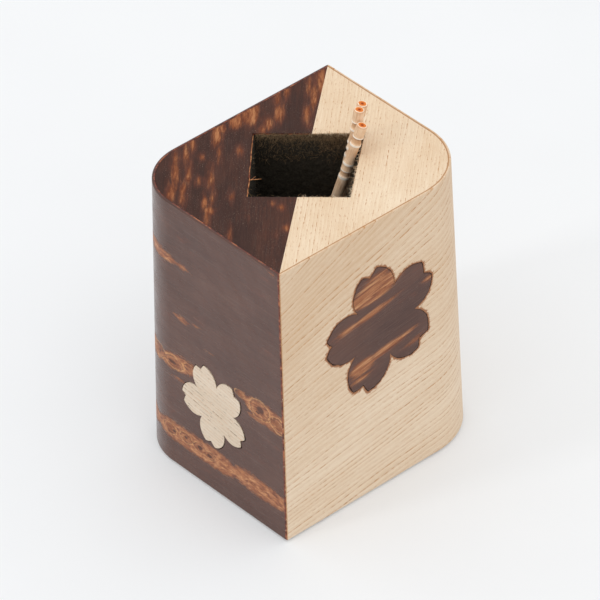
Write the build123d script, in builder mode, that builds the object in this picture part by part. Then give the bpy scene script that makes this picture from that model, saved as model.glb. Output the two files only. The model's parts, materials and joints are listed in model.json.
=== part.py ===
from build123d import *
import os
from math import sqrt

# Pick holder: a small block, half cherry bark and half ash, with a felt-lined well and turned picks.
# Its frame: origin at the middle of the underside, +Z up, +X along the ash front face,
# +Y along the bark side face. The seam runs from the front corner (-X, -Y) to the back corner.

# Block
height = 65.0
top_length = 53.0
top_width = 45.0
base_scale = 1.056              # the block grows this much in plan from its top to its foot
bark_corner_radius = 12.2       # rounded corner at -X, +Y
ash_corner_radius = 14.5        # rounded corner at +X, -Y
sheet = 0.6                     # bark sheet and ash veneer
base_pad = 0.5
base_pad_inset = 1.0

# Well, corners of the hole in the wood at left, back, right and front
well_corners = [(-14.2, 0.7), (0.2, 15.4), (16.2, 0.2), (0.2, -13.3)]
well_walls = ["left", "back", "right", "front"]
well_floor = 9.9
felt = 0.4
felt_below_rim = 0.2

# Blossoms, by the radius of the notch in each petal
blossom_petals = 5
valley_ratio = 0.64
shoulder_ratio = 0.87
shoulder_angle = 28.0
tip_ratio = 1.11
tip_angle = 8.5
inlay_gap = 0.08
dark_blossom_radius = 13.1
dark_blossom_turn = 12.0
dark_blossom_middle = (-0.9, -23.3, 39.8)
pale_blossom_radius = 8.9
pale_blossom_turn = 28.0
pale_blossom_middle = (-27.4, -2.75, 21.5)
blossom_cut = 3.0

# Picks, by where the point stands on the well's floor and where the head ends in plan
pick_length = 65.0
pick_radius = 1.1
pick_lip_radius = 1.14
pick_point_radius = 0.2
pick_point_length = 10.0
pick_foot_height = well_floor + 0.1
pick_feet = [(4.54, 8.57), (5.1, 4.9), (-3.65, 7.78)]
pick_heads = [(14.87, -0.86), (12.51, -2.6), (11.38, -4.6)]
# Turned head: distance below the end face and radius there
pick_head_profile = [
    (0.0, 0.95), (0.16, 1.1), (2.45, 1.07), (2.6, 1.14), (2.85, 1.14), (3.0, 0.88), (4.2, 0.95),
    (4.4, pick_lip_radius), (4.9, pick_lip_radius), (5.1, 1.02), (7.0, 0.95), (9.0, 1.05),
    (9.2, pick_lip_radius), (9.7, pick_lip_radius), (9.9, 0.99), (10.8, 1.05), (10.95, 1.12),
    (11.2, 1.12), (11.35, 0.86), (12.3, 0.92), (12.5, pick_lip_radius), (13.0, pick_lip_radius),
    (13.2, pick_radius),
]

seam = Plane(origin=(0, 0, 0), x_dir=(top_length, top_width, 0), z_dir=(-top_width, top_length, 0))
halves = {"bark": Keep.TOP, "ash": Keep.BOTTOM}


def plan_scale(level):
    """How much larger than the top the block is in plan at this height."""
    return base_scale + (1.0 - base_scale) * level / height


def block_outline(level, inset):
    """Rectangle with two opposite rounded corners, at this height and this far inside the faces."""
    scale = plan_scale(level)
    half_x = scale * (top_length / 2 - inset)
    half_y = scale * (top_width / 2 - inset)
    with BuildSketch(Plane.XY.offset(level)) as outline:
        Rectangle(2 * half_x, 2 * half_y)
        fillet(outline.vertices().sort_by(Axis((0, 0, 0), (-1, 1, 0)))[-1],
               radius=scale * (bark_corner_radius - inset))
        fillet(outline.vertices().sort_by(Axis((0, 0, 0), (1, -1, 0)))[-1],
               radius=scale * (ash_corner_radius - inset))
    return outline.sketch


def tapered_block(low, high, inset, mode=Mode.ADD):
    """The block between two heights, this far inside its faces."""
    loft(sections=[block_outline(low, inset), block_outline(high, inset)], ruled=True, mode=mode)


def well_prism(low, high):
    """Cut the well's hole between two heights."""
    with BuildSketch(Plane.XY.offset(low)) as hole:
        with BuildLine():
            Polyline(*well_corners, close=True)
        make_face()
    extrude(hole.sketch, amount=high - low, mode=Mode.SUBTRACT)


def polar(radius, angle):
    """Point at a distance from the middle, at an angle from straight up."""
    return Vector(0, radius).rotate(Axis.Z, angle)


def blossom_face(radius, turn):
    """Five petals, each two arcs from the valleys to two tips with a notch between them."""
    step = 360 / blossom_petals
    with BuildLine() as petals:
        for petal in range(blossom_petals):
            middle = turn - petal * step
            notch = polar(radius, middle)
            for side in (1, -1):
                valley = polar(valley_ratio * radius, middle + side * step / 2)
                shoulder = polar(shoulder_ratio * radius, middle + side * shoulder_angle)
                tip = polar(tip_ratio * radius, middle + side * tip_angle)
                ThreePointArc(valley, shoulder, tip)
                Line(tip, notch)
    make_face(petals.edges())


def finish(piece, name):
    """Label a piece and write it to its own STEP file."""
    piece.part.label = name
    export_step(piece.part, f"parts/{name}.step")


def inner_corners(inset):
    """Corners of the well's outline moved in from its walls by the inset."""
    inner = []
    for index in range(4):
        before, corner, after = (Vector(*well_corners[(index + step) % 4]) for step in (-1, 0, 1))
        arriving = (corner - before).normalized()
        leaving = (after - corner).normalized()
        inward = (leaving - arriving).normalized()
        wall_angle = inward.get_angle(leaving)
        inner.append(corner + inward * (inset / sin_degrees(wall_angle)))
    return inner


def sin_degrees(angle):
    """Sine of an angle in degrees."""
    return Vector(1, 0).rotate(Axis.Z, angle).Y


os.makedirs("parts", exist_ok=True)

dark_blossom_plane = Plane(origin=dark_blossom_middle, x_dir=(1, 0, 0), z_dir=(0, -1, 0))
pale_blossom_plane = Plane(origin=pale_blossom_middle, x_dir=(0, -1, 0), z_dir=(-1, 0, 0))
windows = {
    "bark": (pale_blossom_plane, pale_blossom_radius, pale_blossom_turn),
    "ash": (dark_blossom_plane, dark_blossom_radius, dark_blossom_turn),
}

# Each half: a solid core with its share of the well, the sheet round its sides and its top sheet
for half, side in halves.items():
    with BuildPart() as core:
        tapered_block(base_pad, height - sheet, sheet)
        well_prism(well_floor - felt, height)
        split(bisect_by=seam, keep=side)
    finish(core, f"{half}_half_core")

    window_plane, window_radius, window_turn = windows[half]
    with BuildPart() as wrap:
        tapered_block(base_pad, height, 0)
        tapered_block(base_pad, height, sheet, Mode.SUBTRACT)
        with BuildSketch(window_plane):
            blossom_face(window_radius, window_turn)
        extrude(amount=blossom_cut, both=True, mode=Mode.SUBTRACT)
        split(bisect_by=seam, keep=side)
    finish(wrap, f"{half}_side_wrap")

    with BuildPart() as top_sheet:
        tapered_block(height - sheet, height, sheet)
        well_prism(height - sheet, height)
        split(bisect_by=seam, keep=side)
    finish(top_sheet, f"{half}_top_sheet")

# Blossoms set in the windows, dark bark in the ash and pale wood in the bark
inlays = {"pale_blossom": windows["bark"], "dark_blossom": windows["ash"]}
for name, (window_plane, window_radius, window_turn) in inlays.items():
    with BuildPart() as inlay:
        tapered_block(base_pad, height, 0)
        tapered_block(base_pad, height, sheet, Mode.SUBTRACT)
        with BuildSketch(window_plane):
            blossom_face(window_radius - inlay_gap, window_turn)
        extrude(amount=blossom_cut, both=True, mode=Mode.INTERSECT)
    finish(inlay, name)

# Felt on the four walls, mitred at the corners, and on the floor between them
felt_corners = inner_corners(felt)
for index, wall in enumerate(well_walls):
    following = (index + 1) % 4
    with BuildPart() as wall_felt:
        with BuildSketch(Plane.XY.offset(well_floor - felt)):
            with BuildLine():
                Polyline(well_corners[index], well_corners[following],
                         felt_corners[following], felt_corners[index], close=True)
            make_face()
        extrude(amount=height - felt_below_rim - (well_floor - felt))
    finish(wall_felt, f"well_felt_{wall}")

with BuildPart() as floor_felt:
    with BuildSketch(Plane.XY.offset(well_floor - felt)):
        with BuildLine():
            Polyline(*felt_corners, close=True)
        make_face()
    extrude(amount=felt)
finish(floor_felt, "well_felt_floor")

# Pad under the block
with BuildPart() as pad:
    tapered_block(0, base_pad, base_pad_inset)
finish(pad, "base_pad")

# Picks, turned from the point to the head, leaning in the well's right corner
for number, (foot_plan, head_plan) in enumerate(zip(pick_feet, pick_heads), start=1):
    spread_x = head_plan[0] - foot_plan[0]
    spread_y = head_plan[1] - foot_plan[1]
    rise = sqrt(pick_length**2 - spread_x**2 - spread_y**2)
    foot = Vector(*foot_plan, pick_foot_height)
    direction = Vector(spread_x, spread_y, rise).normalized()
    across = Vector(-direction.Z, 0, direction.X).normalized()
    outline = [(0, 0), (pick_point_radius, 0), (pick_radius, pick_point_length)]
    outline += [(radius, pick_length - below) for below, radius in reversed(pick_head_profile)]
    outline += [(0, pick_length)]
    with BuildPart() as pick:
        with BuildSketch(Plane(origin=foot, x_dir=across, z_dir=across.cross(direction))):
            with BuildLine():
                Polyline(*outline, close=True)
            make_face()
        revolve(axis=Axis(foot, direction))
    finish(pick, f"pick_{number}")
    print(f"pick_{number} foot {foot} direction {direction}")
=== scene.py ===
"""Looks of the pick holder: a block half cherry bark and half ash, its blossoms, felt well and picks."""
import json
from math import pi, radians

import bmesh
import bpy
import numpy as np
from mathutils import Matrix, Vector


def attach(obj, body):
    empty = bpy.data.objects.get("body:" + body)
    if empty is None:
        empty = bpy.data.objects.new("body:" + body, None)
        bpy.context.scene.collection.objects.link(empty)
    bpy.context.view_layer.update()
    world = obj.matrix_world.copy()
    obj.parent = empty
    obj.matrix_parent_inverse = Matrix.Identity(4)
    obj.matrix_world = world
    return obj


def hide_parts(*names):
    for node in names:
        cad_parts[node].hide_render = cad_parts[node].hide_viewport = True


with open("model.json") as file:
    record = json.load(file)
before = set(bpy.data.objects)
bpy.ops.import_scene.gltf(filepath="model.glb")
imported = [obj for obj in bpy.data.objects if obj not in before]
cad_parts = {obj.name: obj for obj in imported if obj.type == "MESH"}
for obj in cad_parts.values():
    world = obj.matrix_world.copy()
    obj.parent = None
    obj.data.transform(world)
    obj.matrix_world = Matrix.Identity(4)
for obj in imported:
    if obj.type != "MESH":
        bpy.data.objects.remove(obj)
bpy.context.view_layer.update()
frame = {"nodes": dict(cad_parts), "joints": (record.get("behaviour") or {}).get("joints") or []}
MM = 0.001


# --- The two half cores -------------------------------------------------------------------------
# The block is two pieces of plain light wood, glued on the diagonal, each cut with half of the well.
# They show only underneath, round the pad, as sawn wood.

class Finish:
    """A node material being put together. Each call adds one node and returns it."""

    def __init__(self, name):
        self.material = bpy.data.materials.new(name)
        self.material.use_nodes = True
        self.tree = self.material.node_tree
        self.shader = self.tree.nodes["Principled BSDF"]

    def add(self, kind, **inputs):
        """One node of this kind, its named sockets joined to other nodes or set to values."""
        node = self.tree.nodes.new("ShaderNode" + kind)
        for key, value in inputs.items():
            self.plug(node, key.replace("_", " "), value)
        return node

    def plug(self, node, key, value):
        """Joins a socket, given by name or number, to a node or one of its outputs, or sets its value."""
        socket = node.inputs[int(key)] if key.isdigit() else node.inputs[key]
        if isinstance(value, bpy.types.Node):
            value = value.outputs[0]
        if isinstance(value, bpy.types.NodeSocket):
            self.tree.links.new(value, socket)
        else:
            socket.default_value = value

    def read(self, name, output="Fac"):
        """What the piece stores at its vertices under this name, as a number or as its Vector."""
        node = self.tree.nodes.new("ShaderNodeAttribute")
        node.attribute_name = name
        return node.outputs[output]

    def do(self, operation, first, second=0.5):
        """Arithmetic on one number or on two."""
        node = self.tree.nodes.new("ShaderNodeMath")
        node.operation = operation
        self.plug(node, "0", first)
        self.plug(node, "1", second)
        return node

    def times(self, first, second):
        """Product of two numbers."""
        return self.do("MULTIPLY", first, second)

    def plus(self, first, second):
        """Sum of two numbers."""
        return self.do("ADD", first, second)

    def minus(self, first, second):
        """The first number less the second."""
        return self.do("SUBTRACT", first, second)

    def roughen(self, field, noise, amount):
        """A field with a ragged edge: the noise less a half, times the amount, added to it."""
        return self.plus(field, self.times(self.minus(noise, 0.5), amount))

    def place(self):
        """The point on the piece in millimetres."""
        node = self.tree.nodes.new("ShaderNodeVectorMath")
        node.operation = "SCALE"
        self.plug(node, "0", self.add("TexCoord").outputs["Object"])
        node.inputs["Scale"].default_value = 1 / MM
        return node

    def stretch(self, point, scale, turn=(0, 0, 0), shift=(0, 0, 0)):
        """The point turned, scaled and shifted, for a pattern that runs one way."""
        return self.add("Mapping", Vector=point, Scale=scale, Rotation=turn, Location=shift)

    def noise(self, point, scale, detail=3.0, roughness=0.55, distortion=0.0):
        """Soft cloudy pattern from 0 to 1."""
        return self.add("TexNoise", Vector=point, Scale=scale, Detail=detail, Roughness=roughness,
                        Distortion=distortion)

    def streaks(self, grain, run, detail=3.0, roughness=0.55, distortion=0.0, turn=0.0, shift=(0, 0)):
        """Noise drawn out along the grain: run is its cells per millimetre along and across."""
        point = self.stretch(grain, (*run, 1), (0, 0, turn), (*shift, 0))
        return self.noise(point, 1.0, detail, roughness, distortion)

    def step(self, value, low, high, to_low=0.0, to_high=1.0):
        """Turns low..high of a value smoothly into to_low..to_high, clamped."""
        node = self.tree.nodes.new("ShaderNodeMapRange")
        node.interpolation_type = "SMOOTHSTEP"
        for key, item in zip(("Value", "From Min", "From Max", "To Min", "To Max"),
                             (value, low, high, to_low, to_high)):
            self.plug(node, key, item)
        return node

    def colours(self, value, stops):
        """A run of colours over 0 to 1, each stop a place and an sRGB colour out of 255."""
        node = self.tree.nodes.new("ShaderNodeValToRGB")
        elements = node.color_ramp.elements
        while len(elements) < len(stops):
            elements.new(0.5)
        for element, (place, colour) in zip(elements, stops):
            element.position = place
            element.color = linear(colour)
        self.plug(node, "0", value)
        return node

    def blend(self, amount, first, second):
        """Two colours mixed by an amount from 0 to 1."""
        node = self.tree.nodes.new("ShaderNodeMix")
        node.data_type = "RGBA"
        self.plug(node, "0", amount)
        self.plug(node, "6", first)
        self.plug(node, "7", second)
        return node.outputs[2]

    def tint(self, colour, amount, shade):
        """A colour taken towards a shade, an sRGB colour out of 255, by an amount from 0 to 1."""
        return self.blend(amount, colour, linear(shade))

    def relief(self, height, depth_mm, under=None):
        """Bump from a height from 0 to 1, over an earlier bump if there is one."""
        node = self.add("Bump", Height=height, Distance=depth_mm * MM, Strength=1.0)
        if under is not None:
            self.plug(node, "Normal", under)
        return node

    def finish(self, colour, roughness, normal=None, **values):
        """Joins the surface to the shader, with plain values on the shader's own sockets."""
        self.plug(self.shader, "Base Color", colour)
        self.plug(self.shader, "Roughness", roughness)
        if normal is not None:
            self.plug(self.shader, "Normal", normal)
        for key, value in values.items():
            self.shader.inputs[key.replace("_", " ")].default_value = value
        return self.material


def linear(colour):
    """sRGB colour out of 255 as the linear colour with alpha that a socket takes."""
    part = np.array(colour, float) / 255
    part = np.where(part < 0.04045, part / 12.92, ((part + 0.055) / 1.055) ** 2.4)
    return (*part.tolist(), 1.0)


def core_wood():
    """Sawn light wood: rings of noise stretched along the block, with saw marks across."""
    finish = Finish("core_wood")
    point = finish.place()
    rings = finish.noise(finish.stretch(point, (0.35, 0.35, 0.02)), 1.0, 4.0)
    fibre = finish.noise(finish.stretch(point, (3.0, 3.0, 0.15)), 1.0, 3.0)
    colour = finish.colours(rings, [(0.3, (170, 132, 92)), (0.55, (196, 160, 118)), (0.75, (182, 144, 100))])
    colour = finish.tint(colour, finish.step(fibre, 0.5, 0.8, 0.0, 0.4), (138, 100, 66))
    saw = finish.noise(finish.stretch(point, (0.4, 6.0, 6.0)), 1.0, 2.0)
    return finish.finish(colour, 0.75, finish.relief(saw, 0.05))


def dress(node_names, material):
    """Puts one material in every slot of CAD nodes."""
    for name in node_names:
        cad = frame["nodes"][name]
        cad.data.materials.clear()
        cad.data.materials.append(material)


dress(["bark_half_core", "ash_half_core"], core_wood())


# --- The bark side wrap -------------------------------------------------------------------------
# A 0.6 mm sheet of polished cherry bark, bent round the rounded corner and glued to the core. Its
# lenticels lie level, in two broad bands and some short streaks, and it has a pocket for a blossom.

HEIGHT = 65.0
HALF_X, HALF_Y = 26.5, 22.5          # half the top's length and width
BASE_SCALE = 1.056
FOOT = 0.5                           # the sheets stop this far above the table
SHEET = 0.6
BARK_RADIUS, ASH_RADIUS = 12.2, 14.5
RIM_ROUND = 0.18
SEAM_ROUND, SEAM_REACH = 0.12, 0.15
POCKET_DEPTH = 0.5
PETALS = 5
# Each petal's length out to its notch, and the angles from its middle to its two tips
PETAL_SHAPES = ((0.975, 8.5, 8.0), (1.01, 5.5, 8.5), (1.03, 8.5, 7.5), (0.965, 8.0, 8.5), (0.99, 8.5, 9.0))
VALLEY, SHOULDER, LOBE, TIP = 0.64, 0.87, 1.052, 1.11    # distances out, as shares of the notch's
PALE_RADIUS, PALE_TURN = 8.9, 28.0
PALE_Y, PALE_Z = -2.75, 21.5
PALE_SIDE = 12.0                     # half the square of sheet that is laid out round the blossom
RING_STEPS = 60                      # cells along each side of that square, a multiple of 5 and 4
MOUTH_POINTS = 4 * RING_STEPS        # points round a blossom's outline
POCKET_RINGS = 16                    # rings from the square in to the pocket's edge
END_STRIP = 1.2                      # stretch of finer cells at each end of a wrap


def plan_scale(z):
    """How much wider than the top the block is at height z: linear from foot to top."""
    return BASE_SCALE + (1.0 - BASE_SCALE) * z / HEIGHT


def wrap_length(half_a, half_b, radius):
    """Length of a wrap round its outside at the top, and where its rounded corner starts and ends."""
    first = 2 * half_a - radius
    bend = pi / 2 * radius
    return first, first + bend, first + bend + 2 * half_b - radius


def wrap_plan(p, inset, half_a, half_b, radius):
    """Plan of a wrap at distance p along it and this far inside: straight along a, a quarter circle,
    then straight along b. Both ends lie on the diagonal a / half_a = b / half_b."""
    bend_from, bend_to, end = wrap_length(half_a, half_b, radius)
    start_a = -(half_b - inset) * half_a / half_b
    end_b = (half_a - inset) * half_b / half_a
    angle = np.clip((p - bend_from) / radius, 0, pi / 2)
    a = half_a - radius + (radius - inset) * np.sin(angle)
    b = -(half_b - radius) - (radius - inset) * np.cos(angle)
    a = np.where(p < bend_from, start_a + (half_a - radius - start_a) * p / bend_from, a)
    climb = (end_b + half_b - radius) * (p - bend_to) / (end - bend_to)
    b = np.where(p > bend_to, -(half_b - radius) + climb, b)
    return a, b


def bark_skin(p, inset, z):
    """Point on the bark wrap: p runs from the front corner along -X, then round to the back corner."""
    inset = inset + seam_ease(p, wrap_length(HALF_Y, HALF_X, BARK_RADIUS)[2])
    y, x = wrap_plan(p, inset, HALF_Y, HALF_X, BARK_RADIUS)
    scale = plan_scale(z)
    return np.stack(np.broadcast_arrays(x * scale, y * scale, z), -1)


def seam_ease(p, end):
    """Extra inset that eases the sharp ends of a wrap: it dies away over a fraction of a millimetre."""
    return SEAM_ROUND * (np.exp(-p / SEAM_REACH) + np.exp(-(end - p) / SEAM_REACH))


def wrap_profile(z_lines):
    """Closed outline of a wrap's section, as inset and height: round the foot, up the outside, over
    the rim, down the inside and back under."""
    turn = np.linspace(0, pi / 2, 6)
    under = RIM_ROUND * (1 - np.sin(turn[:-1])), FOOT + RIM_ROUND * (1 - np.cos(turn[:-1]))
    over = RIM_ROUND * (1 - np.cos(turn[1:])), HEIGHT - RIM_ROUND + RIM_ROUND * np.sin(turn[1:])
    inside = np.linspace(HEIGHT - 1, FOOT + 1, 8)
    rim = np.linspace(RIM_ROUND, SHEET, 7)[1:]
    inset = np.concatenate([under[0], 0 * z_lines, over[0], rim, SHEET + 0 * inside, [SHEET]])
    z = np.concatenate([under[1], z_lines, over[1], HEIGHT + 0 * rim, inside, [FOOT]])
    return inset, z


def lines(*stretches):
    """Grid lines: each stretch is its start, its end and its number of cells."""
    parts = [np.linspace(start, end, int(cells) + 1)[:-1] for start, end, cells in stretches]
    return np.concatenate([*parts, [stretches[-1][1]]])


def arc(start, middle, end, count):
    """Points on the circle through three points, from start up to but not including end."""
    ax, ay, bx, by, cx, cy = *start, *middle, *end
    twice = 2 * (ax * (by - cy) + bx * (cy - ay) + cx * (ay - by))
    sa, sb, sc = ax * ax + ay * ay, bx * bx + by * by, cx * cx + cy * cy
    centre = np.array([sa * (by - cy) + sb * (cy - ay) + sc * (ay - by),
                       sa * (cx - bx) + sb * (ax - cx) + sc * (bx - ax)]) / twice
    from_angle, to_angle = (np.arctan2(*(np.array(q) - centre)[::-1]) for q in (start, end))
    sweep = (to_angle - from_angle + pi) % (2 * pi) - pi
    angle = from_angle + sweep * np.arange(count) / count
    return centre + np.hypot(*(np.array(start) - centre)) * np.stack([np.cos(angle), np.sin(angle)], -1)


def blossom(radius, turn, count):
    """Outline of a blossom, anticlockwise from a valley: each petal is an arc out to a tip, a rounded
    lobe in to its notch, the same out to the other tip and an arc back to the next valley."""
    def polar(ratio, degrees):
        return radius * ratio * np.array([-np.sin(radians(degrees)), np.cos(radians(degrees))])
    side = count // PETALS // 2
    fork = side // 3
    parts = []
    for petal in range(PETALS):
        middle = turn + petal * 360 / PETALS
        long, near, far = PETAL_SHAPES[petal]
        notch = polar(long, middle)
        shoulder, tip, lobe = SHOULDER * long ** 0.5, TIP * long, LOBE * long
        first = [polar(VALLEY, middle - 36), polar(shoulder, middle - 28), polar(tip, middle - near)]
        last = [polar(tip, middle + far), polar(shoulder, middle + 28), polar(VALLEY, middle + 36)]
        parts += [arc(*first, side - fork), arc(first[2], polar(lobe, middle - 0.43 * near), notch, fork),
                  arc(notch, polar(lobe, middle + 0.43 * far), last[0], fork), arc(*last, side - fork)]
    return np.concatenate(parts)


def quads(rows, columns, around=False):
    """Corner numbers of the quads of a grid of rows and columns, closed over the rows if around."""
    lower = np.arange(rows if around else rows - 1)
    upper = (lower + 1) % rows
    left = np.arange(columns - 1)
    a = lower[:, None] * columns + left
    b = upper[:, None] * columns + left
    return np.stack([a, a + 1, b + 1, b], -1)


def end_caps(rows, columns):
    """The two faces that close a section carried along a grid: its first column and its last."""
    first = columns * np.arange(rows)
    return [first.tolist(), (first + columns - 1).tolist()]


def ring_faces(rows, around):
    """Quads between closed rings of points, one ring to a row."""
    cells = quads(rows, around + 1)
    return (cells // (around + 1) * around + cells % (around + 1) % around).reshape(-1, 4)


def ring_ends(rows, around):
    """The two faces that close a stack of rings: its first ring and its last."""
    first = np.arange(around)
    return [first.tolist(), (first + (rows - 1) * around).tolist()]


def new_piece(name, points, faces, material, weld=True):
    """Object of points in millimetres and faces, its faces turned outwards after any doubles are merged."""
    mesh = bpy.data.meshes.new(name)
    mesh.from_pydata((np.asarray(points) * MM).tolist(), [], faces)
    build = bmesh.new()
    build.from_mesh(mesh)
    if weld:
        bmesh.ops.remove_doubles(build, verts=build.verts, dist=0.004 * MM)
        bmesh.ops.dissolve_degenerate(build, edges=build.edges, dist=0.001 * MM)
    bmesh.ops.recalc_face_normals(build, faces=build.faces)
    build.to_mesh(mesh)
    build.free()
    mesh.shade_smooth()
    mesh.materials.append(material)
    piece = bpy.data.objects.new(name, mesh)
    bpy.context.scene.collection.objects.link(piece)
    return piece


def sharpen(piece, degrees=35):
    """Keeps edges sharper than this angle crisp under smooth shading."""
    piece.data.set_sharp_from_angle(angle=radians(degrees))


def points_of(piece):
    """A piece's vertices in millimetres, as an array each of x, y and z."""
    points = np.empty(len(piece.data.vertices) * 3)
    piece.data.vertices.foreach_get("co", points)
    return (points.reshape(-1, 3) / MM).T


def paint(piece, name, formula):
    """Stores a number at every vertex, worked out from the points in millimetres."""
    values = formula(*points_of(piece))
    layer = piece.data.attributes.new(name, "FLOAT", "POINT")
    layer.data.foreach_set("value", np.ascontiguousarray(values, np.float32))


def lay_grain(piece, formula):
    """Stores along-grain and across-grain distances in millimetres at every vertex, in one attribute."""
    along, across = formula(*points_of(piece))
    layer = piece.data.attributes.new("grain", "FLOAT_VECTOR", "POINT")
    flat = np.stack([along, across, 0 * along], -1)
    layer.data.foreach_set("vector", np.ascontiguousarray(flat, np.float32).ravel())


def wrap_mesh(skin, columns, z_lines, square, outline, depth):
    """Closed wrap: its section carried along its length, with a square of the outside left out and
    filled by rings from the square in to the pocket's outline, the pocket's wall and its floor."""
    inset, z = wrap_profile(z_lines)
    points = skin(columns[None, :], inset[:, None], z[:, None]).reshape(-1, 3)
    cells = quads(len(z), len(columns), around=True)
    low_p, high_p, low_z, high_z = square
    middle_p = (columns[:-1] + columns[1:]) / 2
    next_z = np.roll(z, -1)
    outside = (inset == 0) & (np.roll(inset, -1) == 0)
    in_rows = outside & ((z + next_z) / 2 > low_z) & ((z + next_z) / 2 < high_z)
    in_columns = (middle_p > low_p) & (middle_p < high_p)
    keep = ~(in_rows[:, None] & in_columns[None, :])
    faces = cells[keep].tolist() + end_caps(len(z), len(columns))
    # Rings, wall and floor of the pocket, each a function of the place round it and the way in
    share = np.arange(RING_STEPS) / RING_STEPS
    width, tall = high_p - low_p, high_z - low_z
    edge = np.concatenate([np.stack([low_p + width * share, low_z + 0 * share], -1),
                           np.stack([high_p + 0 * share, low_z + tall * share], -1),
                           np.stack([high_p - width * share, high_z + 0 * share], -1),
                           np.stack([low_p + 0 * share, high_z - tall * share], -1)])
    middle = outline.mean(0)
    turns = np.arctan2(*(edge - middle).T[::-1])
    mouth_turns = np.arctan2(*(outline - middle).T[::-1])
    nearest = np.argmin(np.abs(np.angle(np.exp(1j * (mouth_turns - turns[0])))))
    mouth = np.roll(outline, -nearest, axis=0)
    way = 1 - (1 - np.linspace(0, 1, POCKET_RINGS + 1)[:, None, None]) ** 1.5
    ring = edge + (mouth - edge) * way
    wall = np.repeat(mouth[None], 3, 0)
    floor = middle + (mouth - middle) * np.linspace(1, 0.02, 10)[:, None, None]
    path = np.concatenate([ring, wall, floor])
    sunk = np.concatenate([np.zeros(len(ring)), [0.06, depth / 2, depth], np.full(len(floor), depth)])
    path_points = skin(path[..., 0], sunk[:, None], path[..., 1])
    faces += (len(points) + ring_faces(len(path), len(mouth))).tolist()
    faces.append([len(points) + number for number in ring_ends(len(path), len(mouth))[1]])
    return np.concatenate([points, path_points.reshape(-1, 3)]), faces


def ellipse(u, v, middle_u, middle_v, half_u, half_v):
    """1 at the middle of an ellipse, falling to 0 at its edge and below outside it."""
    return 1 - ((u - middle_u) / half_u) ** 2 - ((v - middle_v) / half_v) ** 2


def bark_distance(x, y, z):
    """Distance along the bark wrap from the front corner, from a point on it."""
    scale = plan_scale(z)
    x, y = x / scale, y / scale
    bend_from, bend_to, _ = wrap_length(HALF_Y, HALF_X, BARK_RADIUS)
    angle = np.arctan2(y - (HALF_Y - BARK_RADIUS), -(x + HALF_X - BARK_RADIUS))
    bend = bend_from + BARK_RADIUS * np.clip(angle, 0, pi / 2)
    return np.where(y < HALF_Y - BARK_RADIUS, y + HALF_Y,
                    np.where(x > -(HALF_X - BARK_RADIUS), bend_to + x + HALF_X - BARK_RADIUS, bend))


# Bands of lenticels: distance along the wrap of both ends, height and half height at each end
BARK_BANDS = [
    (-2.0, 11.6, 28.0, 28.9, 2.9, 2.6), (9.5, 14.5, 29.6, 29.6, 1.7, 0.8),
    (4.0, 11.0, 26.4, 26.2, 0.9, 0.7), (23.0, 36.0, 27.6, 25.6, 1.6, 2.6),
    (34.0, 47.0, 25.9, 25.4, 2.4, 2.1), (46.0, 75.0, 25.4, 28.5, 2.0, 1.6),
    (74.0, 95.0, 28.5, 27.0, 1.6, 2.4), (27.5, 33.0, 22.6, 22.4, 0.4, 0.5),
    (-2.0, 16.0, 8.9, 9.0, 2.1, 2.5), (13.5, 38.0, 8.6, 8.5, 2.7, 2.5), (36.0, 70.0, 8.5, 6.7, 2.5, 1.5),
    (66.0, 95.0, 6.9, 9.5, 1.7, 2.5), (26.6, 31.8, 38.0, 38.4, 0.9, 1.1),
    (23.6, 26.8, 38.9, 38.6, 0.3, 0.5), (20.0, 22.6, 34.6, 34.4, 0.25, 0.3),
    (25.6, 31.0, 51.1, 51.3, 0.4, 1.1), (30.0, 44.0, 51.3, 51.8, 1.3, 1.7),
    (43.0, 58.0, 51.8, 50.0, 1.7, 0.6), (62.0, 80.0, 47.0, 45.5, 0.7, 1.7),
    (80.0, 92.0, 45.4, 45.9, 1.7, 0.8), (55.0, 66.0, 39.0, 38.4, 1.1, 0.5),
    (0.4, 3.6, 64.0, 64.2, 0.9, 0.6),
]
# Eyes of lenticels: distance along, height and half sizes
BARK_EYES = [
    (6.9, 28.8, 3.1, 2.4), (1.4, 27.9, 2.6, 1.9), (31.6, 26.1, 2.9, 1.6), (36.6, 26.2, 2.3, 1.7),
    (12.6, 29.6, 1.6, 0.8), (27.2, 27.0, 1.8, 1.1), (42.5, 25.7, 2.6, 1.4), (52.0, 25.8, 2.2, 1.3),
    (24.6, 8.7, 1.9, 1.2), (21.8, 8.4, 1.6, 1.1), (28.6, 8.8, 2.0, 1.3), (33.4, 8.6, 2.2, 1.4),
    (41.0, 51.6, 1.8, 0.8), (60.0, 7.3, 2.6, 1.2), (80.0, 8.6, 2.8, 1.5), (84.0, 27.5, 2.9, 1.4),
    (70.0, 46.0, 2.2, 0.9),
]
# Small dark pits
BARK_PITS = [
    (24.5, 8.8, 0.8, 0.6), (21.8, 8.3, 0.9, 0.5), (28.6, 8.9, 0.6, 0.45), (32.0, 8.5, 0.6, 0.5),
    (6.6, 28.9, 1.1, 0.9), (7.4, 27.9, 0.7, 0.4), (32.2, 25.9, 1.3, 0.5), (36.4, 26.1, 0.6, 0.5),
    (50.8, 25.9, 0.7, 0.5),
]


def band_field(x, y, z):
    """How far inside the nearest band, in millimetres: half height less the distance from its line."""
    p = bark_distance(x, y, z)
    field = np.full(p.shape, -9.0)
    for start, end, z_start, z_end, half_start, half_end in BARK_BANDS:
        share = np.clip((p - start) / (end - start), 0, 1)
        beyond = np.maximum(np.maximum(start - p, p - end), 0)
        taper = 1 - np.exp(-np.minimum(share, 1 - share) * (end - start) / 1.6)
        half = (half_start + (half_end - half_start) * share) * taper
        here = half - np.abs(z - (z_start + (z_end - z_start) * share)) - 0.6 * beyond
        field = np.maximum(field, here)
    return field


def eye_field(x, y, z):
    """Strongest of the lenticels' eyes at a point."""
    p = bark_distance(x, y, z)
    return np.max([ellipse(p, z, *eye) for eye in BARK_EYES], axis=0)


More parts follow.
